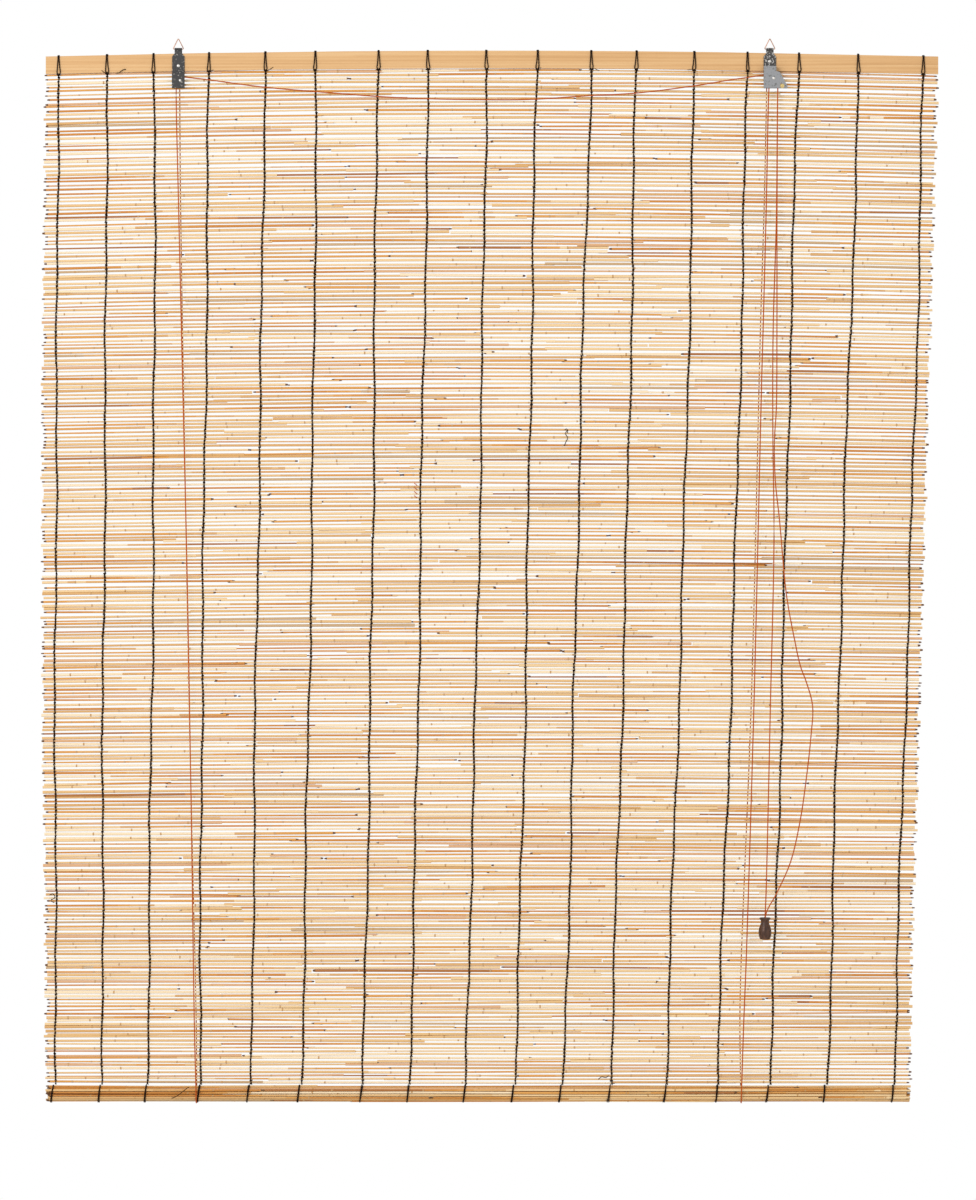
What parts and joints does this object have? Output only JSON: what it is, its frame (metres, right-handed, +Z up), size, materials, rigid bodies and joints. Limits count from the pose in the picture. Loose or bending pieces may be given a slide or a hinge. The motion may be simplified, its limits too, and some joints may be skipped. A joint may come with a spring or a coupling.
{
  "type": "roll-up reed blind",
  "caption": "Cord-operated roll-up blind: wooden head rail, woven reed mat, reed bundle, two hanging brackets with sheaves, cord lock, lifting loops and turned wooden tassel.",
  "frame": {"origin": "midway along the head rail, on the line where the two hooks carry the hanging rings, in the middle of the rail's thickness", "axes": "+X along the rail to the right as seen from the room, +Y away from the room towards the window, +Z up; the front faces -Y"},
  "size_m": [1.497, 0.0553, 1.7874],
  "materials": {
    "rail_wood": "planed pale honey wood, clear, with a fine straight grain",
    "reed": "natural dried reed, satin, ivory to tan with orange-brown stalks",
    "twine": "two-strand dark cotton twine, matte",
    "cord": "rust-orange braided cord, matte",
    "dark_metal": "black stove enamel worn to bare metal at the edges",
    "zinc": "dull zinc-plated pressed steel, mottled",
    "steel": "dull rolled steel",
    "ring_wire": "coppered steel wire, lightly tarnished",
    "brass": "worn knurled brass",
    "tassel_wood": "turned wood, dark brown stain under a satin varnish"
  },
  "bodies": {
    "head": {"head_rail": "rail_wood", "left_back_plate": "dark_metal", "left_pulley_cover": "dark_metal", "left_axle": "steel", "left_rail_nail": "steel", "right_back_plate": "dark_metal", "right_lock_cheek": "zinc", "right_axle": "steel", "right_rail_nail": "steel", "left_cord_tack": "steel", "right_cord_tack": "steel", "mat_band_1": "reed", "mat_band_2": "reed", "mat_band_3": "reed", "mat_band_4": "reed", "mat_band_5": "reed", "mat_band_6": "reed", "mat_band_7": "reed", "warp_01": "twine", "warp_02": "twine", "warp_03": "twine", "warp_04": "twine", "warp_05": "twine", "warp_06": "twine", "warp_07": "twine", "warp_08": "twine", "warp_09": "twine", "warp_10": "twine", "warp_11": "twine", "warp_12": "twine", "warp_13": "twine", "warp_14": "twine", "warp_15": "twine", "warp_16": "twine", "warp_17": "twine", "left_front_cord": "cord", "left_back_cord": "cord", "right_front_cord": "cord", "right_back_cord": "cord", "cross_cord": "cord", "rear_pull_cord": "cord", "front_pull_cord": "cord"},
    "roll_carrier": {"left_cord_sling": "cord", "right_cord_sling": "cord"},
    "bottom_roll": {"bottom_reeds_1": "reed", "bottom_reeds_2": "reed", "bottom_reeds_3": "reed", "bottom_reeds_4": "reed", "bottom_reeds_5": "reed", "bottom_reeds_6": "reed", "bottom_reeds_7": "reed"},
    "tassel": {"tassel": "tassel_wood", "tassel_knot": "cord"},
    "left_sheave": {"left_sheave": "steel"},
    "right_rear_sheave": {"right_rear_sheave": "steel"},
    "right_front_sheave": {"right_front_sheave": "steel"},
    "lock_roller": {"lock_roller": "brass"},
    "left_ring": {"left_hanging_ring": "ring_wire"},
    "right_ring": {"right_hanging_ring": "ring_wire"}
  },
  "joints": [
    {"name": "lift", "type": "slide", "parent": "head", "child": "roll_carrier", "axis": [0, 0, 1], "range_m": [0, 1.625], "deforming": ["mat_band_1", "mat_band_2", "mat_band_3", "mat_band_4", "mat_band_5", "mat_band_6", "mat_band_7", "warp_01", "warp_02", "warp_03", "warp_04", "warp_05", "warp_06", "warp_07", "warp_08", "warp_09", "warp_10", "warp_11", "warp_12", "warp_13", "warp_14", "warp_15", "warp_16", "warp_17", "left_front_cord", "left_back_cord", "right_front_cord", "right_back_cord"]},
    {"name": "roll_spin", "type": "hinge", "parent": "roll_carrier", "child": "bottom_roll", "pos_m": [0, 0, -1.76933], "axis": [1, 0, 0], "range_deg": [-2701, 0]},
    {"name": "tassel_pull", "type": "slide", "parent": "head", "child": "tassel", "axis": [0, 0, 1], "range_m": [-3.25, 0], "deforming": ["rear_pull_cord", "front_pull_cord"]},
    {"name": "left_sheave_spin", "type": "hinge", "parent": "head", "child": "left_sheave", "pos_m": [-0.5226, -0.0105, -0.0705], "axis": [0, 1, 0], "continuous": true},
    {"name": "right_rear_sheave_spin", "type": "hinge", "parent": "head", "child": "right_rear_sheave", "pos_m": [0.4724, -0.0105, -0.0666], "axis": [0, 1, 0], "continuous": true},
    {"name": "right_front_sheave_spin", "type": "hinge", "parent": "head", "child": "right_front_sheave", "pos_m": [0.4724, -0.0105, -0.0666], "axis": [0, 1, 0], "continuous": true},
    {"name": "lock_grip", "type": "slide", "parent": "head", "child": "lock_roller", "axis": [-0.4863, 0, 0.8738], "range_m": [0, 0.005]},
    {"name": "left_ring_swing", "type": "hinge", "parent": "head", "child": "left_ring", "pos_m": [-0.526, -0.0054, -0.0172], "axis": [1, 0, 0], "range_deg": [-90, 90]},
    {"name": "right_ring_swing", "type": "hinge", "parent": "head", "child": "right_ring", "pos_m": [0.466, -0.0054, -0.0172], "axis": [1, 0, 0], "range_deg": [-90, 90]}
  ],
  "couplings": [
    {"joint": "roll_spin", "follows": "lift", "rad_per_m": -29},
    {"joint": "tassel_pull", "follows": "lift", "ratio": -2},
    {"joint": "left_sheave_spin", "follows": "lift", "rad_per_m": 303.03},
    {"joint": "right_rear_sheave_spin", "follows": "lift", "rad_per_m": 277.78},
    {"joint": "right_front_sheave_spin", "follows": "lift", "rad_per_m": 277.78}
  ]
}
